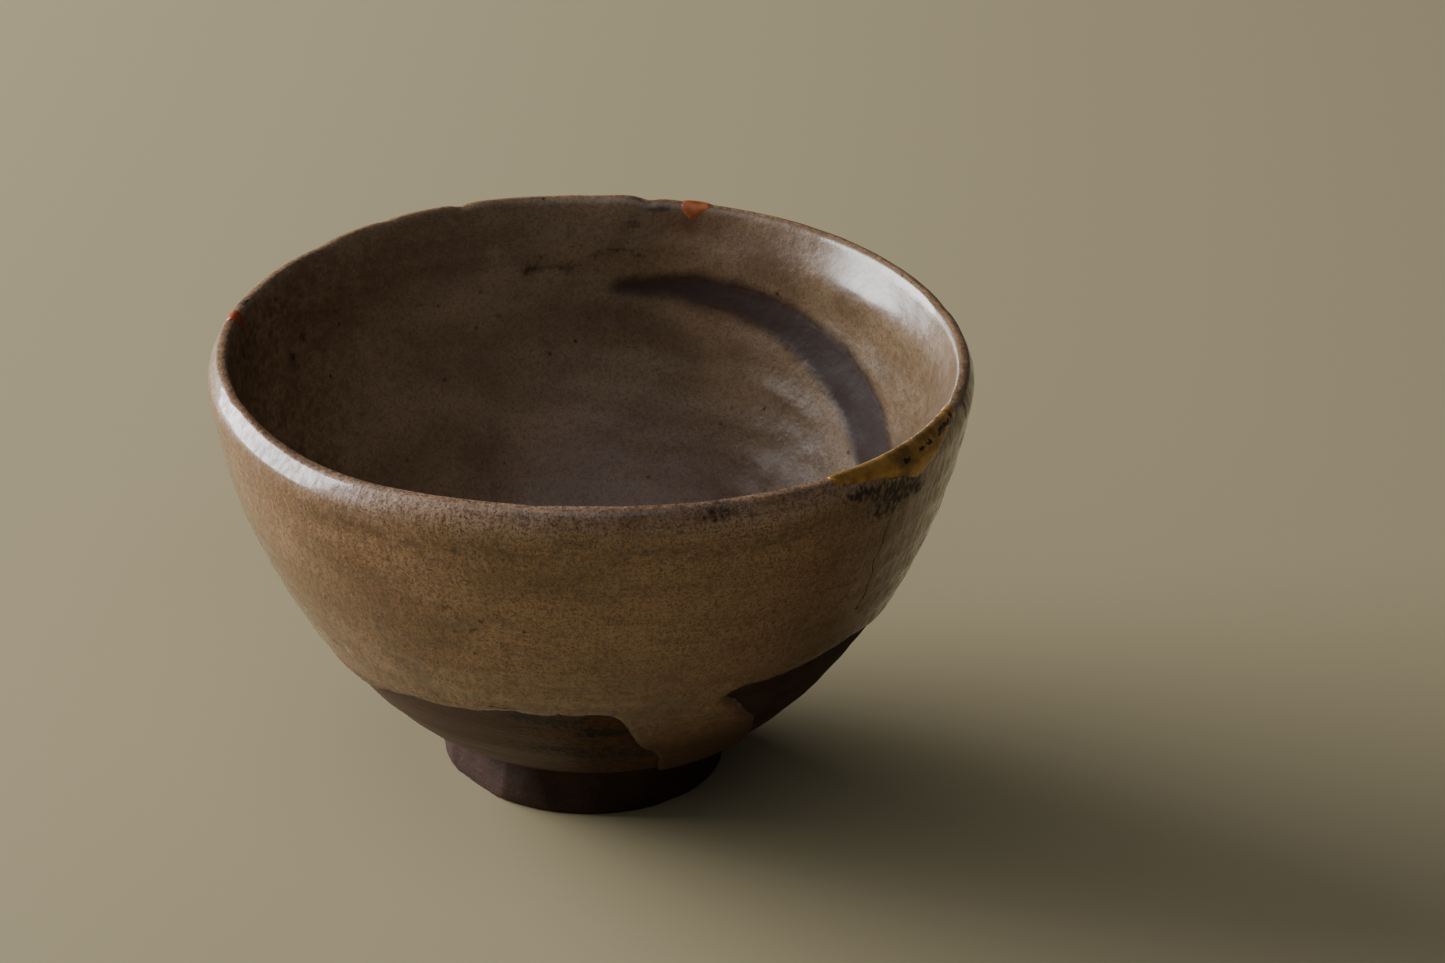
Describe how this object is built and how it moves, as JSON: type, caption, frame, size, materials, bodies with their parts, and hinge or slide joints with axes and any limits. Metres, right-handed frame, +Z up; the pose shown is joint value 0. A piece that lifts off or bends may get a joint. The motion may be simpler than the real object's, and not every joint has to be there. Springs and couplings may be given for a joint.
{
  "type": "tea bowl",
  "caption": "Hand-thrown stoneware tea bowl with a pared foot ring, an ash-glaze coat inside and out, and lacquer-mended lip.",
  "frame": {"origin": "middle of the bowl at the height of the surface it stands on", "axes": "+Z up through the mouth, -Y towards the front of the bowl, +X to the right as seen from the front"},
  "size_m": [0.1222, 0.1222, 0.0748],
  "materials": {
    "clay": "bare iron-rich stoneware, matt, pared and a little sandy",
    "glaze_outside": "thin tan ash glaze, glossy, finely speckled with iron",
    "glaze_inside": "brown ash glaze, glossy, darker and purplish where it is thin",
    "lacquer_paste": "hard lacquer and clay paste, dark brown",
    "gold_lacquer": "amber lacquer with gold powder, polished and worn",
    "red_lacquer": "orange-red lacquer, satin",
    "dark_lacquer": "dark brown lacquer, satin"
  },
  "bodies": {
    "root": {"stoneware_body": "clay", "outer_glaze": "glaze_outside", "inner_glaze": "glaze_inside", "front_fill_core": "lacquer_paste", "front_fill_gold": "gold_lacquer", "back_fill": "red_lacquer", "left_fill": "red_lacquer", "crack_seam": "dark_lacquer"}
  },
  "joints": []
}
